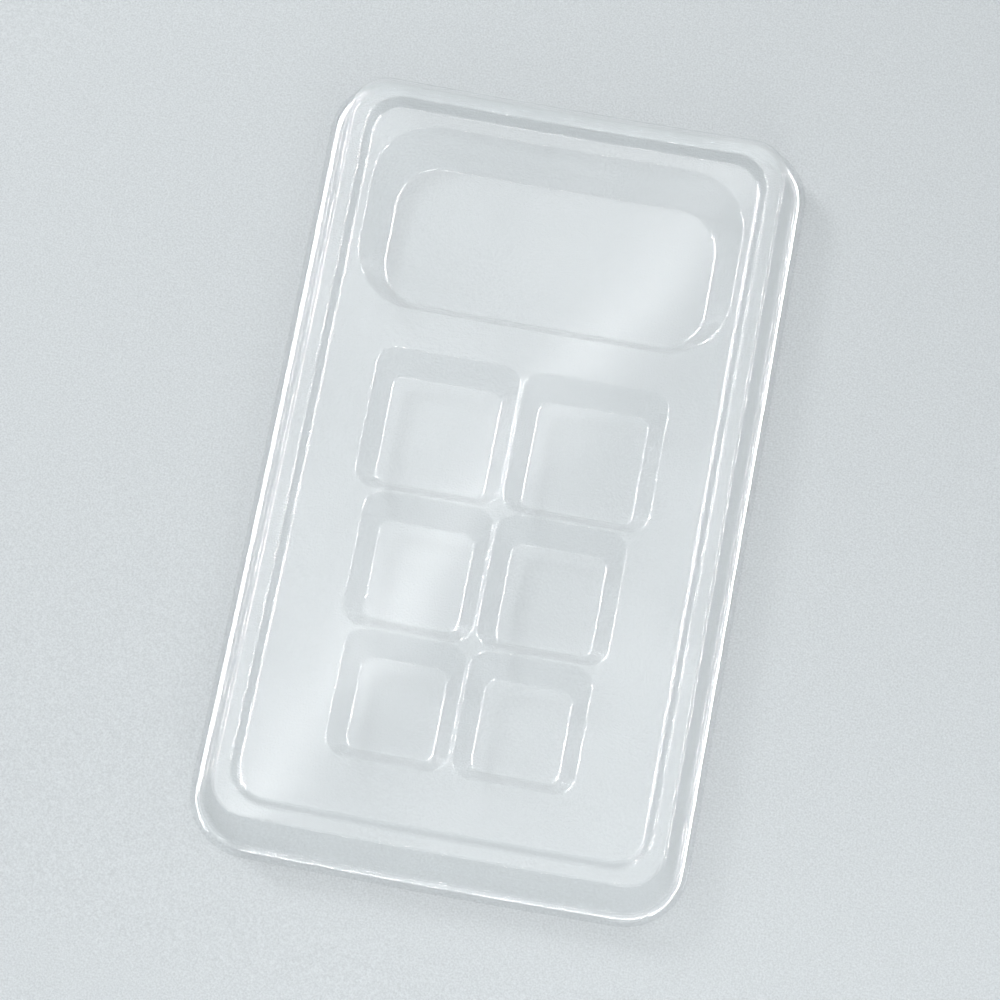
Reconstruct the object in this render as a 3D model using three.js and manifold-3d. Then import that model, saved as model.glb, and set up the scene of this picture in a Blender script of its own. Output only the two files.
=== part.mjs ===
// Clear thermoformed soap tray with one bar well, six tablet wells and a lift-off lid.
// Millimetres, +Z up. The origin is on the floor under the middle of the tray.
// X runs across the tray and +Y points to the end with the bar well.

import * as THREE from 'three';
import { mergeVertices } from 'three/addons/utils/BufferGeometryUtils.js';
import Module from 'manifold-3d';

const wasm = await Module();
wasm.setup();

// ---- Driving dimensions ----
const SHEET = 0.45; // thickness of both formed sheets
const NEST_GAP = 0.35; // air between the tray and the lid
const SPLIT_GAP = 0.3; // slit between neighbouring regions of the tray's sheet
const CORNER_STEPS = 8; // straight pieces in each quarter-round corner
const PAST = 1; // how far a cutting block runs past the face it cuts

// Lid, outside surface.
const LID_HALF_X = 50; // at the shoulder of the border
const LID_HALF_Y = 87;
const LID_TOP = 16.3;
const LID_CORNER = 8.8; // corner radius at the shoulder
const SHOULDER = 1; // bevel along the border's outer edge
const SKIRT_SPREAD = 3; // how far the skirt flares from shoulder to foot
const LID_FOOT = 0.8; // height of the flange's underside
const LID_FLANGE = 1.2;

// Recessed panel of the lid and the step around it.
const BORDER = 6; // from the shoulder to the foot of the step
const PANEL_DROP = 2.5;
const STEP_RUN = 1.8; // how far the step leans outwards
const PANEL_CORNER = 6.5;

// Tray.
const TRAY_FLANGE = 2.8; // from the foot of the tray's own skirt

// Bar well.
const BAR_RIM = { halfX: 42.2, halfY: 21.9, corner: 14 };
const BAR_CENTRE_Y = 56.4;
const BAR_INSET = 5.1; // from the rim to the floor, on every side
const BAR_FLOOR_CORNER = 10;

// Tablet wells, in rows of two that get smaller away from the bar well.
const TABLET_DEPTH = 8.9;
const TABLET_INSET = 3.6;
const TABLET_RIM_CORNER = 4;
const TABLET_FLOOR_CORNER = 2.5;
const RIDGE = 1.2; // between the rims of neighbouring wells
const TABLET_START_Y = 24.6; // rim of the first row, on its bar well side
const TABLET_ROWS = [
  { name: 'far', across: 32.2, along: 32.4 },
  { name: 'middle', across: 28.7, along: 30 },
  { name: 'near', across: 26.6, along: 28 },
];

const LID_COLOR = 0xf1f6f8;
const TRAY_COLOR = 0xe6eef1;

// ---- Worked out from the driving dimensions ----
const PANEL_TOP = LID_TOP - PANEL_DROP;
const DECK_TOP = PANEL_TOP - SHEET - NEST_GAP;
const DECK_UNDER = DECK_TOP - SHEET;
const LID_SHOULDER = LID_TOP - SHOULDER;
const LID_FLANGE_TOP = LID_FOOT + SHEET;
const TRAY_TOP = LID_TOP - SHEET - NEST_GAP;
const TRAY_SHOULDER = TRAY_TOP - SHOULDER;
const SKIRT_SLOPE = SKIRT_SPREAD / (LID_SHOULDER - LID_FLANGE_TOP);
const STEP_SLOPE = STEP_RUN / PANEL_DROP;
const STEP_STRETCH = Math.hypot(1, STEP_SLOPE); // level width of a leaning layer of thickness 1
const STEP_SHEET = SHEET * STEP_STRETCH;
const STEP_NEST = (SHEET + NEST_GAP) * STEP_STRETCH;

// ---- Outlines, all measured outwards from the lid's shoulder ----

function aroundLid(offset, z) {
  return {
    halfX: LID_HALF_X + offset,
    halfY: LID_HALF_Y + offset,
    corner: LID_CORNER + offset,
    z,
  };
}

function aroundPanel(offset, z) {
  return {
    halfX: LID_HALF_X + offset,
    halfY: LID_HALF_Y + offset,
    corner: PANEL_CORNER + BORDER + offset,
    z,
  };
}

// Outside of the lid's skirt at height z.
function lidSkirt(z) {
  return (LID_SHOULDER - z) * SKIRT_SLOPE;
}

// Outside of the tray's skirt at height z.
function traySkirt(z) {
  return lidSkirt(z) - SHEET - NEST_GAP;
}

// Upper face of the lid's step at height z.
function lidStep(z) {
  return (z - PANEL_TOP) * STEP_SLOPE - BORDER;
}

// Upper face of the tray's step at height z.
function trayStep(z) {
  return lidStep(z) + STEP_NEST;
}

// ---- Solids ----

// A square with a side of 4 and round corners of radius 1, stretched into every other outline.
function roundSquare() {
  const shape = new THREE.Shape();
  shape.absarc(1, 1, 1, 0, 0.5 * Math.PI, false);
  shape.absarc(-1, 1, 1, 0.5 * Math.PI, Math.PI, false);
  shape.absarc(-1, -1, 1, Math.PI, 1.5 * Math.PI, false);
  shape.absarc(1, -1, 1, 1.5 * Math.PI, 2 * Math.PI, false);
  return shape;
}

// A solid through a stack of round-cornered outlines, listed from the lowest to the highest.
function stack(levels, centreX = 0, centreY = 0) {
  const geometry = new THREE.ExtrudeGeometry(roundSquare(), {
    depth: levels.length - 1,
    steps: levels.length - 1,
    bevelEnabled: false,
    curveSegments: CORNER_STEPS / 2, // an arc is cut into twice as many pieces
  });
  geometry.deleteAttribute('normal');
  geometry.deleteAttribute('uv');
  const position = geometry.attributes.position;
  for (let i = 0; i < position.count; i += 1) {
    const level = levels[Math.round(position.getZ(i))];
    const sideX = Math.sign(position.getX(i));
    const sideY = Math.sign(position.getY(i));
    const arcX = position.getX(i) - sideX;
    const arcY = position.getY(i) - sideY;
    const x = centreX + sideX * (level.halfX - level.corner) + arcX * level.corner;
    const y = centreY + sideY * (level.halfY - level.corner) + arcY * level.corner;
    position.setXYZ(i, x, y, level.z);
  }
  const merged = mergeVertices(geometry);
  return new wasm.Manifold(new wasm.Mesh({
    numProp: 3,
    vertProperties: new Float32Array(merged.attributes.position.array),
    triVerts: new Uint32Array(merged.index.array),
  }));
}

function toMesh(name, solid, color) {
  const { vertProperties, triVerts } = solid.getMesh();
  const geometry = new THREE.BufferGeometry();
  geometry.setAttribute('position', new THREE.BufferAttribute(new Float32Array(vertProperties), 3));
  geometry.setIndex(new THREE.BufferAttribute(new Uint32Array(triVerts), 1));
  geometry.computeVertexNormals();
  const material = new THREE.MeshStandardMaterial({ color, roughness: 0.08, metalness: 0 });
  const mesh = new THREE.Mesh(geometry, material);
  mesh.name = name;
  return mesh;
}

// The lid: a flanged skirt and a border, with the top pressed down inside the border.
function lid() {
  const flange = SKIRT_SPREAD + LID_FLANGE;
  const outside = stack([
    aroundLid(flange, LID_FOOT),
    aroundLid(flange, LID_FLANGE_TOP),
    aroundLid(SKIRT_SPREAD, LID_FLANGE_TOP),
    aroundLid(0, LID_SHOULDER),
    aroundLid(-SHOULDER, LID_TOP),
  ]);
  const inside = stack([
    aroundLid(lidSkirt(0) - SHEET, 0),
    aroundLid(-SHEET, LID_SHOULDER),
    aroundLid(-SHEET - SHOULDER, LID_TOP - SHEET),
  ]);
  const recess = stack([
    aroundPanel(lidStep(PANEL_TOP), PANEL_TOP),
    aroundPanel(lidStep(LID_TOP), LID_TOP),
    aroundPanel(lidStep(LID_TOP), LID_TOP + PAST),
  ]);
  const recessSkin = stack([
    aroundPanel(lidStep(PANEL_TOP - SHEET) + STEP_SHEET, PANEL_TOP - SHEET),
    aroundPanel(lidStep(LID_TOP) + STEP_SHEET, LID_TOP),
  ]);
  return outside.subtract(recess).subtract(inside.subtract(recessSkin));
}

// The tray's flange, skirt, border and step, open in the middle where the deck lies.
function trayBorder() {
  const flange = traySkirt(SHEET) + TRAY_FLANGE;
  const shoulder = traySkirt(TRAY_SHOULDER);
  const outside = stack([
    aroundLid(flange, 0),
    aroundLid(flange, SHEET),
    aroundLid(traySkirt(SHEET), SHEET),
    aroundLid(shoulder, TRAY_SHOULDER),
    aroundLid(shoulder - SHOULDER, TRAY_TOP),
  ]);
  const inside = stack([
    aroundLid(traySkirt(-PAST) - SHEET, -PAST),
    aroundLid(shoulder - SHEET, TRAY_SHOULDER),
    aroundLid(shoulder - SHEET - SHOULDER, TRAY_TOP - SHEET),
  ]);
  const recess = stack([
    aroundPanel(trayStep(DECK_TOP), DECK_UNDER - PAST),
    aroundPanel(trayStep(DECK_TOP), DECK_TOP),
    aroundPanel(trayStep(TRAY_TOP), TRAY_TOP),
    aroundPanel(trayStep(TRAY_TOP), TRAY_TOP + PAST),
  ]);
  const recessSkin = stack([
    aroundPanel(trayStep(DECK_UNDER) + STEP_SHEET, DECK_UNDER),
    aroundPanel(trayStep(TRAY_TOP) + STEP_SHEET, TRAY_TOP),
  ]);
  return outside.subtract(recess).subtract(inside.subtract(recessSkin));
}

// The rim of a well, grown sideways, at height z.
function grownRim(rim, grow, z) {
  return { halfX: rim.halfX + grow, halfY: rim.halfY + grow, corner: rim.corner + grow, z };
}

// A hole through the deck that leaves a slit around the wells inside a rim.
function deckHole(rim, centreY) {
  const grow = SHEET + SPLIT_GAP;
  const bottom = grownRim(rim, grow, DECK_UNDER - PAST);
  const top = grownRim(rim, grow, DECK_TOP + PAST);
  return stack([bottom, top], 0, centreY);
}

// An open cup whose rim is level with the top of the deck.
function cup(rim, inset, floorCorner, floorZ, centreX, centreY) {
  const slope = inset / (DECK_TOP - floorZ);
  const floor = {
    halfX: rim.halfX - inset,
    halfY: rim.halfY - inset,
    corner: floorCorner,
    z: floorZ,
  };
  const outside = stack([
    grownRim(floor, SHEET - slope * SHEET, floorZ - SHEET),
    grownRim(rim, SHEET, DECK_TOP),
  ], centreX, centreY);
  const inside = stack([
    floor,
    grownRim(rim, 0, DECK_TOP),
    grownRim(rim, 0, DECK_TOP + PAST),
  ], centreX, centreY);
  return outside.subtract(inside);
}

// ---- Placing the wells ----

const tabletRows = [];
const tabletWells = [];
let rowStart = TABLET_START_Y;
for (const row of TABLET_ROWS) {
  const rim = { halfX: row.across / 2, halfY: row.along / 2, corner: TABLET_RIM_CORNER };
  const centreX = rim.halfX + RIDGE / 2;
  const centreY = rowStart - rim.halfY;
  tabletRows.push({ rim: { ...rim, halfX: row.across + RIDGE / 2 }, centreY });
  tabletWells.push({ name: `tablet_well_${row.name}_left`, rim, centreX: -centreX, centreY });
  tabletWells.push({ name: `tablet_well_${row.name}_right`, rim, centreX, centreY });
  rowStart -= row.along + RIDGE;
}

// The flat deck around the bar well and around the whole block of tablet wells.
function trayDeck() {
  const edge = trayStep(DECK_TOP) - SPLIT_GAP;
  let plate = stack([
    aroundPanel(edge, DECK_UNDER),
    aroundPanel(edge, DECK_TOP),
  ]);
  plate = plate.subtract(deckHole(BAR_RIM, BAR_CENTRE_Y));
  for (const row of tabletRows) {
    plate = plate.subtract(deckHole(row.rim, row.centreY));
  }
  return plate;
}

// ---- The assembly ----

const assembly = new THREE.Group();
assembly.name = 'soap_tray';
assembly.add(toMesh('lid', lid(), LID_COLOR));
assembly.add(toMesh('tray_border', trayBorder(), TRAY_COLOR));
assembly.add(toMesh('tray_deck', trayDeck(), TRAY_COLOR));
assembly.add(toMesh(
  'bar_well',
  cup(BAR_RIM, BAR_INSET, BAR_FLOOR_CORNER, SHEET, 0, BAR_CENTRE_Y),
  TRAY_COLOR,
));
for (const well of tabletWells) {
  const floorZ = DECK_TOP - TABLET_DEPTH;
  const solid = cup(
    well.rim,
    TABLET_INSET,
    TABLET_FLOOR_CORNER,
    floorZ,
    well.centreX,
    well.centreY,
  );
  assembly.add(toMesh(well.name, solid, TRAY_COLOR));
}

export default assembly;
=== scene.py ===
"""Looks of the clear soap tray: two thin formed plastic sheets on a pale cloth.

The sheets are worked out in millimetres from the same dimensions as the solids, then scaled to
metres. The lid is one sheet and the tray is another. Both are whole here, with no slits.
"""

import math

import bpy
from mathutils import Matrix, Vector, noise
from mathutils.geometry import delaunay_2d_cdt


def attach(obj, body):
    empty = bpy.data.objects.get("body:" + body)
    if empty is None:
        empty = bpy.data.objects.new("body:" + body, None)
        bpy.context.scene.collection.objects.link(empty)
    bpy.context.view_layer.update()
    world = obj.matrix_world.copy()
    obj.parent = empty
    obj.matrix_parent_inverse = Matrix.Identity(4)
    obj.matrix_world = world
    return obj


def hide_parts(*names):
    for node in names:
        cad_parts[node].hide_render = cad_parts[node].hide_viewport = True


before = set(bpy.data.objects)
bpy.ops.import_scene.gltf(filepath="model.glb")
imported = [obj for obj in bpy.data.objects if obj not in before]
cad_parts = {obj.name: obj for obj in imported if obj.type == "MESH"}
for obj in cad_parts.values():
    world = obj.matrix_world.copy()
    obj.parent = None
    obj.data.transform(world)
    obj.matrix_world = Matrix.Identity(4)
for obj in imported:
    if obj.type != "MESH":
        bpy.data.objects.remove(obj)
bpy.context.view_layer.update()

MM = 0.001

# ---- Dimensions shared with the solids, in millimetres ----
SHEET = 0.45
NEST_GAP = 0.35
LID_HALF_X = 50
LID_HALF_Y = 87
LID_TOP = 16.3
LID_CORNER = 8.8
SHOULDER = 1
SKIRT_SPREAD = 3
LID_FOOT = 0.8
LID_FLANGE = 1.2
BORDER = 6
PANEL_DROP = 2.5
STEP_RUN = 1.8
PANEL_CORNER = 6.5
TRAY_FLANGE = 2.8
BAR_WELL = {
    "centre": (0, 56.4),
    "half": (42.2, 21.9),
    "rim_corner": 14,
    "floor_corner": 10,
    "inset": 5.1,
    "floor": SHEET,
    "bends": (0.6, 0.6),  # at the rim and at the floor
}
TABLET_WELL = {
    "rim_corner": 4,
    "floor_corner": 2.5,
    "inset": 3.6,
    "bends": (0.6, 0.4),
}
TABLET_ROWS = ((32.2, 32.4), (28.7, 30.0), (26.6, 28.0))  # (across, along) of each row's wells
TABLET_START_Y = 24.6
TABLET_DEPTH = 8.9
RIDGE = 1.2

PANEL_TOP = LID_TOP - PANEL_DROP
DECK_TOP = PANEL_TOP - SHEET - NEST_GAP
TRAY_TOP = LID_TOP - SHEET - NEST_GAP
SKIRT_SLOPE = SKIRT_SPREAD / (LID_TOP - SHOULDER - LID_FOOT - SHEET)
STEP_SLOPE = STEP_RUN / PANEL_DROP
STEP_NEST = (SHEET + NEST_GAP) * math.hypot(1, STEP_SLOPE)

# ---- How finely the sheets are cut ----
ARC_CUTS = 10  # pieces in a quarter-round corner
BEND_CUTS = 5  # pieces in a bend of the sheet
SUPPORT = 0.15  # a narrow flat strip on either side of a bend keeps its shading off the flats
SUPPORT_SHARE = 0.4  # that strip's largest share of the straight which is left beside the bend
WALL_PITCH = 3.0
FLAT_PITCH = 3.0
SLIVER = 1e-4  # triangles smaller than this only bridge points on one straight line
APART = 0.55  # least distance between points in a flat, as a share of its pitch
MERGE_REACH = 1e-6  # points of a flat that are closer than this are one
RIM_CUTS = (32, 56)  # pieces on the short and long sides of the outer outlines
BAR_CUTS = (20, 10)
TABLET_CUTS = (10, 10)

# ---- Bends of the border ----
FOOT_BEND = 0.15
SHOULDER_BEND = SHEET
STEP_TOP_BEND = SHEET
STEP_FOOT_BEND = 0.2
PANEL_STRIP = 1.2  # width of the panel's edge strip, inside the step
MOUTH_STRIP = 0.05  # deck beside a well's bent rim
FLOOR_STRIP = 0.5  # floor beside a well's lower bend
WIDENING_START = 1.5  # where the border's outlines start to turn into the step's wider corners
WIDENING_RUN = 2

# ---- How far the real sheets are from true ----
BOW = 0.5  # how far the left and end edges curve
LID_WAVES = 0.1
TRAY_WAVES = 0.05
SIDE_WAVES = 0.05
RIPPLE_LENGTH = 14
SWELL_LENGTH = 38
SIDE_LENGTH = 9
RIPPLE_SHARE = 0.25


def lid_skirt(z):
    """Outside of the lid's skirt at height z, measured from the shoulder."""
    return (LID_TOP - SHOULDER - z) * SKIRT_SLOPE


def tray_skirt(z):
    """Outside of the tray's skirt at height z."""
    return lid_skirt(z) - SHEET - NEST_GAP


def lid_step(z):
    """Upper face of the lid's step at height z."""
    return (z - PANEL_TOP) * STEP_SLOPE - BORDER


def tray_step(z):
    """Upper face of the tray's step at height z."""
    return lid_step(z) + STEP_NEST


# ---- Outlines and bends ----


def round_outline(centre, half, corner, cuts):
    """Points around a round-cornered rectangle, with cuts pieces on its (long, short) sides."""
    signs = ((1, 1), (-1, 1), (-1, -1), (1, -1))
    arcs = []
    for quarter, (side_x, side_y) in enumerate(signs):
        x = centre[0] + side_x * (half[0] - corner)
        y = centre[1] + side_y * (half[1] - corner)
        arc = []
        for step in range(ARC_CUTS + 1):
            angle = math.pi / 2 * (quarter + step / ARC_CUTS)
            arc.append(Vector((x + corner * math.cos(angle), y + corner * math.sin(angle))))
        arcs.append(arc)
    points = []
    for quarter, arc in enumerate(arcs):
        points += arc
        following = arcs[(quarter + 1) % 4][0]
        pieces = cuts[quarter % 2]
        points += [arc[-1].lerp(following, step / pieces) for step in range(1, pieces)]
    return points


def bent_path(corners):
    """A path through (offset, height, bend radius) corners, with each bend rounded and each long
    straight cut up."""
    bends = []
    for index, (offset, height, radius) in enumerate(corners):
        here = Vector((offset, height))
        if not radius:
            bends.append([here])
            continue
        back = Vector(corners[index - 1][:2]) - here
        ahead = Vector(corners[index + 1][:2]) - here
        half_angle = back.angle(ahead) / 2
        reach = radius / math.tan(half_angle)
        strips = [min(SUPPORT, SUPPORT_SHARE * (side.length - reach)) for side in (back, ahead)]
        back.normalize()
        ahead.normalize()
        middle = here + (back + ahead).normalized() * radius / math.sin(half_angle)
        first = here + back * reach - middle
        last = here + ahead * reach - middle
        turn = math.atan2(first.x * last.y - first.y * last.x, first.dot(last))
        arc = []
        for step in range(BEND_CUTS + 1):
            cosine = math.cos(turn * step / BEND_CUTS)
            sine = math.sin(turn * step / BEND_CUTS)
            spun = (first.x * cosine - first.y * sine, first.x * sine + first.y * cosine)
            arc.append(middle + Vector(spun))
        bends.append([arc[0] + back * strips[0], *arc, arc[-1] + ahead * strips[1]])
    path = list(bends[0])
    for bend in bends[1:]:
        start = path[-1]
        pieces = max(1, round((bend[0] - start).length / WALL_PITCH))
        path += [start.lerp(bend[0], step / pieces) for step in range(1, pieces)]
        path += bend
    return path


class Skin:
    """Points and faces of one sheet's upper face, before it gets its thickness."""

    def __init__(self):
        self.points = []
        self.faces = []

    def add(self, flat_point, height):
        self.points.append((flat_point[0], flat_point[1], height))
        return len(self.points) - 1

    def wall(self, path, outline_at):
        """Joins the outlines at each (offset, height) of path, from the outside in. Returns the
        rings of point numbers of the first and last outlines."""
        rings = [
            [self.add(point, height) for point in outline_at(offset)] for offset, height in path
        ]
        for outer, inner in zip(rings, rings[1:]):
            for here in range(len(inner)):
                there = (here + 1) % len(inner)
                self.faces.append((outer[here], outer[there], inner[there], inner[here]))
        return rings[0], rings[-1]

    def fill(self, height, outer, holes, pitch):
        """Fills the flat inside one ring of points and outside the others with triangles."""
        rings = [outer, *holes]
        numbers = [number for ring in rings for number in ring]
        flat = [Vector(self.points[number][:2]) for number in numbers]
        edges = []
        start = 0
        for ring in rings:
            edges += [(start + i, start + (i + 1) % len(ring)) for i in range(len(ring))]
            start += len(ring)
        shapes = [[Vector(self.points[number][:2]) for number in ring] for ring in rings]

        def covered(point):
            return inside(point, shapes[0]) and not any(inside(point, s) for s in shapes[1:])

        low_x, high_x = min(p.x for p in flat), max(p.x for p in flat)
        low_y, high_y = min(p.y for p in flat), max(p.y for p in flat)
        rise = pitch * math.sqrt(3) / 2
        fixed = list(flat)
        for row in range(1, math.ceil((high_y - low_y) / rise)):
            for column in range(math.ceil((high_x - low_x) / pitch) + 1):
                x = low_x + (column + 0.5 * (row % 2)) * pitch
                point = Vector((x, low_y + row * rise))
                near = min((point - other).length_squared for other in fixed)
                if near > (APART * pitch) ** 2 and covered(point):
                    numbers.append(self.add(point, height))
                    flat.append(point)
        points, _, faces, origins, _, _ = delaunay_2d_cdt(flat, edges, [], 0, MERGE_REACH)
        for face in faces:
            a, b, c = (points[i] for i in face)
            area = ((b - a).x * (c - a).y - (b - a).y * (c - a).x) / 2
            if area > SLIVER and covered((a + b + c) / 3):
                self.faces.append(tuple(numbers[origins[i][0]] for i in face))


def inside(point, ring):
    """True if a flat point lies inside a ring of flat points."""
    crossings = 0
    for index, start in enumerate(ring):
        end = ring[index - 1]
        if (start.y > point.y) != (end.y > point.y):
            along = (point.y - start.y) / (end.y - start.y)
            crossings += point.x < start.x + along * (end.x - start.x)
    return crossings % 2 == 1


# ---- The two sheets ----


def around(offset):
    """Outline at an offset from the lid's shoulder. The border's inner corners are wider."""
    half = (LID_HALF_X + offset, LID_HALF_Y + offset)
    inward = min(max((-WIDENING_START - offset) / WIDENING_RUN, 0), 1)
    widening = inward * (PANEL_CORNER + BORDER - LID_CORNER)
    return round_outline((0, 0), half, LID_CORNER + widening + offset, RIM_CUTS)


def bordered(skin, flange, foot, skirt, top, step, panel):
    """Flange, skirt, border and step of one sheet. Returns the ring around its flat middle."""
    path = bent_path([
        (flange, foot, 0),
        (skirt(foot), foot, FOOT_BEND),
        (skirt(top), top, SHOULDER_BEND),
        (step(top), top, STEP_TOP_BEND),
        (step(panel), panel, STEP_FOOT_BEND),
        (step(panel) - PANEL_STRIP, panel, 0),
    ])
    return skin.wall(path, around)[1]


def pressed_well(skin, well, cuts):
    """One well, from the deck to its floor. Returns the ring around its mouth."""
    slope = (well["floor_corner"] - well["rim_corner"]) / well["inset"]

    def outline_at(inset):
        half = (well["half"][0] - inset, well["half"][1] - inset)
        return round_outline(well["centre"], half, well["rim_corner"] + slope * inset, cuts)

    rim_bend, floor_bend = well["bends"]
    drop = math.atan2(DECK_TOP - well["floor"], well["inset"])
    mouth = rim_bend * math.tan(drop / 2) + MOUTH_STRIP
    floor_edge = floor_bend * math.tan(drop / 2) + FLOOR_STRIP
    path = bent_path([
        (-mouth, DECK_TOP, 0),
        (0, DECK_TOP, rim_bend),
        (well["inset"], well["floor"], floor_bend),
        (well["inset"] + floor_edge, well["floor"], 0),
    ])
    first, last = skin.wall(path, outline_at)
    skin.fill(well["floor"], last, [], FLAT_PITCH)
    return first


def lid_skin():
    """Upper face of the whole lid."""
    skin = Skin()
    flange = SKIRT_SPREAD + LID_FLANGE
    ring = bordered(skin, flange, LID_FOOT + SHEET, lid_skirt, LID_TOP, lid_step, PANEL_TOP)
    skin.fill(PANEL_TOP, ring, [], FLAT_PITCH)
    return skin


def tray_skin():
    """Upper face of the whole tray, with its bar well and three rows of two tablet wells."""
    skin = Skin()
    flange = tray_skirt(SHEET) + TRAY_FLANGE
    ring = bordered(skin, flange, SHEET, tray_skirt, TRAY_TOP, tray_step, DECK_TOP)
    mouths = [pressed_well(skin, BAR_WELL, BAR_CUTS)]
    row_start = TABLET_START_Y
    for across, along in TABLET_ROWS:
        for side in (-1, 1):
            well = {
                **TABLET_WELL,
                "centre": (side * (across + RIDGE) / 2, row_start - along / 2),
                "half": (across / 2, along / 2),
                "floor": DECK_TOP - TABLET_DEPTH,
            }
            mouths.append(pressed_well(skin, well, TABLET_CUTS))
        row_start -= along + RIDGE
    skin.fill(DECK_TOP, ring, mouths, FLAT_PITCH)
    return skin


def formed(point, waves, seed):
    """Where a point of a true sheet ends up on the real one, which is a little bowed and wavy."""
    x, y, z = point
    across, along = x / LID_HALF_X, y / LID_HALF_Y
    shift_x = BOW * max(-across, 0) * max(1 - along**2, 0)
    shift_y = -BOW * abs(along) * max(1 - across**2, 0)
    ripple = noise.noise(Vector((x / RIPPLE_LENGTH, y / RIPPLE_LENGTH, seed)))
    swell = noise.noise(Vector((x / SWELL_LENGTH, y / SWELL_LENGTH, seed + 5)))
    side_place = (x / SIDE_LENGTH, y / SIDE_LENGTH, z / SIDE_LENGTH + seed)
    side = SIDE_WAVES * noise.noise(Vector(side_place))
    height = z / LID_TOP
    lift = waves * height * (RIPPLE_SHARE * ripple + swell)
    return (x + shift_x + side * height, y + shift_y + side * height, z + lift)


def make_sheet(name, skin, waves, seed, material):
    """The piece for one formed sheet, with its thickness under the skin."""
    mesh = bpy.data.meshes.new(name)
    points = [[MM * value for value in formed(p, waves, seed)] for p in skin.points]
    mesh.from_pydata(points, [], skin.faces)
    mesh.shade_smooth()
    mesh.materials.append(material)
    piece = bpy.data.objects.new(name, mesh)
    bpy.context.scene.collection.objects.link(piece)
    wall = piece.modifiers.new("thickness", "SOLIDIFY")
    wall.thickness = SHEET * MM
    wall.offset = -1
    wall.use_even_offset = True
    return piece


# ---- Materials ----

LID_TINT = (0.993, 0.996, 0.997)
TRAY_TINT = (0.988, 0.994, 0.995)
LID_MILK = 0.01  # share of milky plastic seen straight on
TRAY_MILK = 0.012
GLOSS = (0.05, 0.11)  # roughness of the sheets, from clearest to haziest patches
GRAIN_SCALE = 60
GRAIN_DETAIL = 4
GRAIN_HEIGHT = 0.0005
GRAIN_STRENGTH = 0.01
FACING_MIRROR = 0.02  # share mirrored by one face of the sheet seen straight on
EDGE_MIRROR = 0.35  # share mirrored edge-on
EDGE_MILK = 0.3  # extra milkiness edge-on
MILK_COLOUR = (0.9, 0.93, 0.94, 1)
STEEPNESS = 5  # how suddenly a face turns from clear to mirror
EDGE_SHADE = 0.62  # lamp light let through by a face that it strikes edge-on
SHADE_STEEPNESS = 2
INNER_LIGHT = 0.985  # light let through between the cloth and the room
CLOTH_ROUGHNESS = 0.9
WEAVE_SCALE = 2400
WEAVE_DETAIL = 3
WEAVE_COLOURS = ((0.53, 0.56, 0.572, 1), (0.88, 0.925, 0.945, 1))
WEAVE_HEIGHT = 0.0003
WEAVE_STRENGTH = 0.4


def new_material(name):
    """A material with no nodes yet, its nodes and its links."""
    material = bpy.data.materials.new(name)
    material.use_nodes = True
    nodes = material.node_tree.nodes
    nodes.clear()
    return material, nodes, material.node_tree.links


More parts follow.
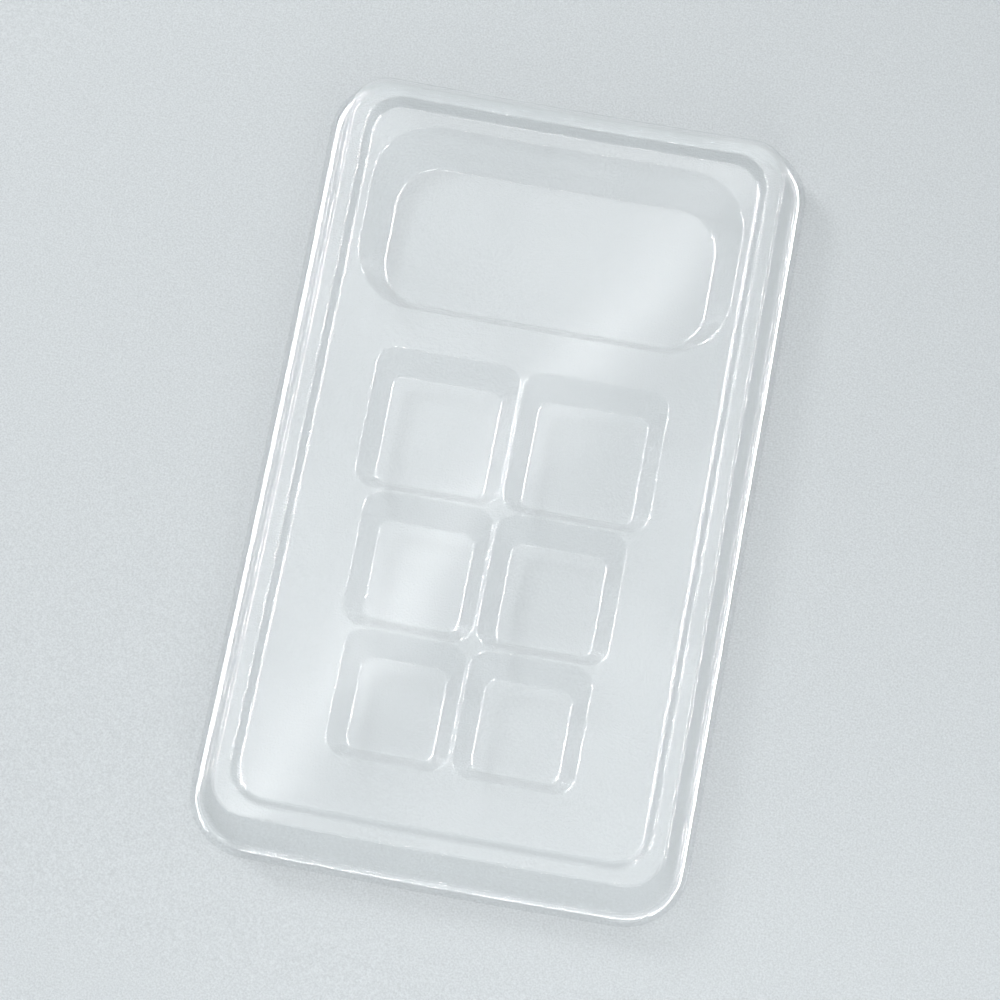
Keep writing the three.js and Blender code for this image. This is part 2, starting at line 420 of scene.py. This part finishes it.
def clear_plastic(name, tint, milk, seed):
    """Clear formed sheet. It mirrors more the more it is seen edge-on, and is a touch milky."""
    material, nodes, links = new_material(name)
    output = nodes.new("ShaderNodeOutputMaterial")
    place = nodes.new("ShaderNodeTexCoord")
    grain = nodes.new("ShaderNodeTexNoise")
    grain.inputs["Scale"].default_value = GRAIN_SCALE + seed
    grain.inputs["Detail"].default_value = GRAIN_DETAIL
    links.new(place.outputs["Object"], grain.inputs["Vector"])

    mirror = nodes.new("ShaderNodeBsdfGlossy")
    haze = nodes.new("ShaderNodeMapRange")
    haze.inputs["To Min"].default_value = GLOSS[0]
    haze.inputs["To Max"].default_value = GLOSS[1]
    links.new(grain.outputs["Fac"], haze.inputs["Value"])
    links.new(haze.outputs["Result"], mirror.inputs["Roughness"])
    ripple = nodes.new("ShaderNodeBump")
    ripple.inputs["Strength"].default_value = GRAIN_STRENGTH
    ripple.inputs["Distance"].default_value = GRAIN_HEIGHT
    links.new(grain.outputs["Fac"], ripple.inputs["Height"])
    links.new(ripple.outputs["Normal"], mirror.inputs["Normal"])

    clear = nodes.new("ShaderNodeBsdfTransparent")
    clear.inputs["Color"].default_value = (*tint, 1)
    milky = nodes.new("ShaderNodeBsdfDiffuse")
    milky.inputs["Color"].default_value = MILK_COLOUR
    body = nodes.new("ShaderNodeMixShader")
    clouding = nodes.new("ShaderNodeMapRange")
    clouding.inputs["To Min"].default_value = milk
    clouding.inputs["To Max"].default_value = milk + EDGE_MILK
    links.new(clear.outputs["BSDF"], body.inputs[1])
    links.new(milky.outputs["BSDF"], body.inputs[2])

    edge = nodes.new("ShaderNodeLayerWeight")
    edge.inputs["Blend"].default_value = 0.5
    steep = nodes.new("ShaderNodeMath")
    steep.operation = "POWER"
    steep.inputs[1].default_value = STEEPNESS
    share = nodes.new("ShaderNodeMapRange")
    share.inputs["To Min"].default_value = FACING_MIRROR
    share.inputs["To Max"].default_value = EDGE_MIRROR
    mix = nodes.new("ShaderNodeMixShader")
    links.new(edge.outputs["Facing"], steep.inputs[0])
    links.new(steep.outputs["Value"], clouding.inputs["Value"])
    links.new(clouding.outputs["Result"], body.inputs[0])
    links.new(steep.outputs["Value"], share.inputs["Value"])
    links.new(share.outputs["Result"], mix.inputs[0])
    links.new(body.outputs["Shader"], mix.inputs[1])
    links.new(mirror.outputs["BSDF"], mix.inputs[2])

    # Lamps shine through less where they strike edge-on, so only the steep parts cast shadows, and
    # light from the cloth leaves nearly undimmed.
    path = nodes.new("ShaderNodeLightPath")
    slant = nodes.new("ShaderNodeMath")
    slant.operation = "POWER"
    slant.inputs[1].default_value = SHADE_STEEPNESS
    links.new(edge.outputs["Facing"], slant.inputs[0])
    shade = nodes.new("ShaderNodeMix")
    shade.data_type = "RGBA"
    shade.inputs["A"].default_value = (1, 1, 1, 1)
    shade.inputs["B"].default_value = (EDGE_SHADE, EDGE_SHADE, EDGE_SHADE, 1)
    links.new(slant.outputs["Value"], shade.inputs["Factor"])
    lit = nodes.new("ShaderNodeBsdfTransparent")
    links.new(shade.outputs["Result"], lit.inputs["Color"])
    glowing = nodes.new("ShaderNodeBsdfTransparent")
    glowing.inputs["Color"].default_value = (INNER_LIGHT, INNER_LIGHT, INNER_LIGHT, 1)
    shown = mix
    for ray, passing in (("Is Shadow Ray", lit), ("Is Diffuse Ray", glowing)):
        choice = nodes.new("ShaderNodeMixShader")
        links.new(path.outputs[ray], choice.inputs[0])
        links.new(shown.outputs["Shader"], choice.inputs[1])
        links.new(passing.outputs["BSDF"], choice.inputs[2])
        shown = choice
    links.new(shown.outputs["Shader"], output.inputs["Surface"])
    return material


def pale_cloth():
    """A matt, pale, faintly woven surface."""
    material, nodes, links = new_material("pale_cloth")
    output = nodes.new("ShaderNodeOutputMaterial")
    cloth = nodes.new("ShaderNodeBsdfPrincipled")
    cloth.inputs["Roughness"].default_value = CLOTH_ROUGHNESS
    cloth.inputs["Specular IOR Level"].default_value = 0
    place = nodes.new("ShaderNodeTexCoord")
    weave = nodes.new("ShaderNodeTexNoise")
    weave.inputs["Scale"].default_value = WEAVE_SCALE
    weave.inputs["Detail"].default_value = WEAVE_DETAIL
    links.new(place.outputs["Object"], weave.inputs["Vector"])
    colour = nodes.new("ShaderNodeMix")
    colour.data_type = "RGBA"
    colour.inputs["A"].default_value = WEAVE_COLOURS[0]
    colour.inputs["B"].default_value = WEAVE_COLOURS[1]
    links.new(weave.outputs["Fac"], colour.inputs["Factor"])
    links.new(colour.outputs["Result"], cloth.inputs["Base Color"])
    bump = nodes.new("ShaderNodeBump")
    bump.inputs["Strength"].default_value = WEAVE_STRENGTH
    bump.inputs["Distance"].default_value = WEAVE_HEIGHT
    links.new(weave.outputs["Fac"], bump.inputs["Height"])
    links.new(bump.outputs["Normal"], cloth.inputs["Normal"])
    links.new(cloth.outputs["BSDF"], output.inputs["Surface"])
    return material


# ---- The scene, in metres ----

FLOOR_SIDE = 8.0
FLOOR_CELLS = 80
FLOOR_FLAT = 0.13  # the cloth is flat this far around the tray
FLOOR_BLEND = 0.1  # and reaches its full unevenness this much further out
FLOOR_UNEVEN = 0.03
FLOOR_WAVES = 4
FLOOR_GAP = 0.00005  # between the cloth and the tray's underside
CARD_CENTRE = (-0.06, 0.1, 1.2)
CARD_SIZE = (1.2, 1.8)
CARD_BAND = (0.01, 0.31)  # a point on the bright band, from the card's centre
CARD_TURN = math.radians(-26)
CARD_REACH = 0.25  # the levels below run from this far on one side of the band to the other
CARD_LEVELS = (
    (0, 0.45),
    (0.42, 0.46),
    (0.475, 0.5),
    (0.5, 1),
    (0.515, 1),
    (0.545, 0.33),
    (0.62, 0.31),
    (0.7, 0.43),
    (1, 0.45),
)
CARD_STRENGTH = (4.7, 7.7)  # in its dimmest and brightest clouds
CLOUD_RANGE = (0.3, 0.7)  # noise levels of those clouds
CLOUD_SCALE = 18
CLOUD_DETAIL = 2
CLOUD_SWIRL = 1.2
WORLD_COLOUR = (0.97, 0.985, 1.0)
WORLD_STRENGTH = 0.585
WORLD_SWING = 0.2  # how much brighter it gets towards its brightest side, and dimmer away from it
WORLD_BRIGHTEST = (0.0, 0.9, 0.3)
# Lamps: name, place, target, (width, height), power in watts
SOFT_LAMPS = (
    ("key", (-0.45, 0.3, 0.6), (0, 0, 0), (0.15, 0.15), 1.8),
    ("fill", (0.12, -0.33, 0.28), (0.02, -0.1, 0), (0.15, 0.15), 0.42),
    ("side", (1.5, 0.0, 0.3), (0, 0, 0), (0.4, 0.2), 1.8),
)
GLINT_LAMPS = (
    ("left_glint", (-0.55, 0.65, 0.8), (0, 0.65, 0), (1.1, 0.12), 85),
    ("right_glint", (0.55, 0.55, 0.8), (0, 0.55, 0), (1.1, 0.12), 70),
    ("near_glint", (0.15, -0.36, 0.62), (0.15, 0, 0), (0.6, 0.04), 7),
)
CAMERA_AZIMUTH = math.radians(10.5)
CAMERA_ELEVATION = math.radians(73.2)
CAMERA_DISTANCE = 829 * MM
CAMERA_TARGET = Vector((0.27, -7.19, LID_TOP)) * MM
CAMERA_SENSOR = 36
CAMERA_LENS = 136.44
CAMERA_CLIP = (0.05, 20)


def make_floor():
    """A large, very gently uneven sheet of cloth on a table."""
    points = []
    for row in range(FLOOR_CELLS + 1):
        for column in range(FLOOR_CELLS + 1):
            x = (column / FLOOR_CELLS - 0.5) * FLOOR_SIDE
            y = (row / FLOOR_CELLS - 0.5) * FLOOR_SIDE
            beyond = min(max(math.hypot(x, y) - FLOOR_FLAT, 0), FLOOR_BLEND)
            sag = FLOOR_UNEVEN * noise.noise(Vector((x * FLOOR_WAVES, y * FLOOR_WAVES, 3)))
            points.append((x, y, min(beyond * sag, 0) - FLOOR_GAP))
    faces = []
    for row in range(FLOOR_CELLS):
        for column in range(FLOOR_CELLS):
            start = row * (FLOOR_CELLS + 1) + column
            across = start + FLOOR_CELLS + 1
            faces.append((start, start + 1, across + 1, across))
    mesh = bpy.data.meshes.new("cloth_floor")
    mesh.from_pydata(points, [], faces)
    mesh.shade_smooth()
    mesh.materials.append(pale_cloth())
    floor = bpy.data.objects.new("cloth_floor", mesh)
    bpy.context.scene.collection.objects.link(floor)
    return floor


def aim(thing, place, target):
    """Puts a lamp or camera at a place, looking at a target."""
    thing.location = place
    thing.rotation_euler = (Vector(target) - Vector(place)).to_track_quat("-Z", "Y").to_euler()


def make_light(name, place, target, size, power):
    """A rectangular lamp of a (width, height) in metres, with its width level."""
    data = bpy.data.lights.new(name, "AREA")
    data.shape = "RECTANGLE"
    data.size, data.size_y = size
    data.energy = power
    light = bpy.data.objects.new(name, data)
    bpy.context.scene.collection.objects.link(light)
    aim(light, place, target)
    return light


def make_card():
    """A soft glowing card overhead, faintly clouded, with a bright band across it."""
    material, nodes, links = new_material("card_glow")
    output = nodes.new("ShaderNodeOutputMaterial")
    glow = nodes.new("ShaderNodeEmission")
    place = nodes.new("ShaderNodeTexCoord")
    spin = nodes.new("ShaderNodeMapping")
    spin.vector_type = "TEXTURE"
    spin.inputs["Location"].default_value = (*CARD_BAND, 0)
    spin.inputs["Rotation"].default_value = (0, 0, CARD_TURN)
    split = nodes.new("ShaderNodeSeparateXYZ")
    spread = nodes.new("ShaderNodeMapRange")
    spread.inputs["From Min"].default_value = -CARD_REACH
    spread.inputs["From Max"].default_value = CARD_REACH
    ramp = nodes.new("ShaderNodeValToRGB")
    ramp.color_ramp.interpolation = "EASE"
    elements = ramp.color_ramp.elements
    while len(elements) < len(CARD_LEVELS):
        elements.new(0.5)
    for element, (position, level) in zip(elements, CARD_LEVELS):
        element.position = position
        element.color = (level, level, level, 1)
    links.new(place.outputs["Object"], spin.inputs["Vector"])
    links.new(spin.outputs["Vector"], split.inputs["Vector"])
    links.new(split.outputs["X"], spread.inputs["Value"])
    links.new(spread.outputs["Result"], ramp.inputs["Fac"])
    links.new(ramp.outputs["Color"], glow.inputs["Color"])
    clouds = nodes.new("ShaderNodeTexNoise")
    clouds.inputs["Scale"].default_value = CLOUD_SCALE
    clouds.inputs["Detail"].default_value = CLOUD_DETAIL
    clouds.inputs["Distortion"].default_value = CLOUD_SWIRL
    strength = nodes.new("ShaderNodeMapRange")
    strength.inputs["From Min"].default_value = CLOUD_RANGE[0]
    strength.inputs["From Max"].default_value = CLOUD_RANGE[1]
    strength.inputs["To Min"].default_value = CARD_STRENGTH[0]
    strength.inputs["To Max"].default_value = CARD_STRENGTH[1]
    links.new(place.outputs["Object"], clouds.inputs["Vector"])
    links.new(clouds.outputs["Fac"], strength.inputs["Value"])
    links.new(strength.outputs["Result"], glow.inputs["Strength"])
    links.new(glow.outputs["Emission"], output.inputs["Surface"])
    half_x, half_y = CARD_SIZE[0] / 2, CARD_SIZE[1] / 2
    signs = ((-1, -1), (-1, 1), (1, 1), (1, -1))
    corners = [(side_x * half_x, side_y * half_y, 0) for side_x, side_y in signs]
    mesh = bpy.data.meshes.new("card")
    mesh.from_pydata(corners, [], [(0, 1, 2, 3)])
    mesh.materials.append(material)
    card = bpy.data.objects.new("card", mesh)
    card.location = CARD_CENTRE
    card.visible_camera = False
    card.visible_diffuse = False
    card.visible_shadow = False
    bpy.context.scene.collection.objects.link(card)
    return card


def make_camera():
    """Camera where the tray's outline, border and wells fall as they are seen."""
    away = Vector((
        math.sin(CAMERA_AZIMUTH) * math.cos(CAMERA_ELEVATION),
        -math.cos(CAMERA_AZIMUTH) * math.cos(CAMERA_ELEVATION),
        math.sin(CAMERA_ELEVATION),
    ))
    data = bpy.data.cameras.new("camera")
    data.sensor_width = CAMERA_SENSOR
    data.lens = CAMERA_LENS
    data.clip_start, data.clip_end = CAMERA_CLIP
    camera = bpy.data.objects.new("camera", data)
    bpy.context.scene.collection.objects.link(camera)
    aim(camera, CAMERA_TARGET + CAMERA_DISTANCE * away, CAMERA_TARGET)
    bpy.context.scene.camera = camera


def make_world():
    """A glow from all round, a little brighter towards one side and dimmer away from it."""
    world = bpy.data.worlds.new("studio")
    world.use_nodes = True
    nodes, links = world.node_tree.nodes, world.node_tree.links
    backdrop = nodes["Background"]
    backdrop.inputs["Color"].default_value = (*WORLD_COLOUR, 1)
    place = nodes.new("ShaderNodeTexCoord")
    toward = nodes.new("ShaderNodeVectorMath")
    toward.operation = "DOT_PRODUCT"
    toward.inputs[1].default_value = WORLD_BRIGHTEST
    level = nodes.new("ShaderNodeMapRange")
    level.inputs["From Min"].default_value = -1
    level.inputs["To Min"].default_value = WORLD_STRENGTH * (1 - WORLD_SWING)
    level.inputs["To Max"].default_value = WORLD_STRENGTH * (1 + WORLD_SWING)
    links.new(place.outputs["Generated"], toward.inputs[0])
    links.new(toward.outputs["Value"], level.inputs["Value"])
    links.new(level.outputs["Result"], backdrop.inputs["Strength"])
    world.cycles.sampling_method = "NONE"
    bpy.context.scene.world = world


def make_sheets(tray_nodes):
    """The lid's and the tray's sheets, each riding on its own body."""
    lid_plastic = clear_plastic("clear_lid_sheet", LID_TINT, LID_MILK, 0)
    lid_sheet = make_sheet("lid_sheet", lid_skin(), LID_WAVES, 2, lid_plastic)
    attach(lid_sheet, "lid")
    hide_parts("lid")
    tray_plastic = clear_plastic("clear_tray_sheet", TRAY_TINT, TRAY_MILK, 7)
    tray_sheet = make_sheet("tray_sheet", tray_skin(), TRAY_WAVES, 9, tray_plastic)
    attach(tray_sheet, "tray")
    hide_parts(*tray_nodes)


def make_lights():
    """Soft lamps for the cloth and the milky edges, and strips that only glint in the plastic."""
    for lamp in SOFT_LAMPS:
        make_light(*lamp)
    for lamp in GLINT_LAMPS:
        make_light(*lamp).visible_diffuse = False


make_sheets([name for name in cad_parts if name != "lid"])
make_floor()
make_card()
make_world()
make_lights()
make_camera()
bpy.context.scene.view_settings.view_transform = "Standard"
bpy.context.scene.cycles.transparent_max_bounces = 32
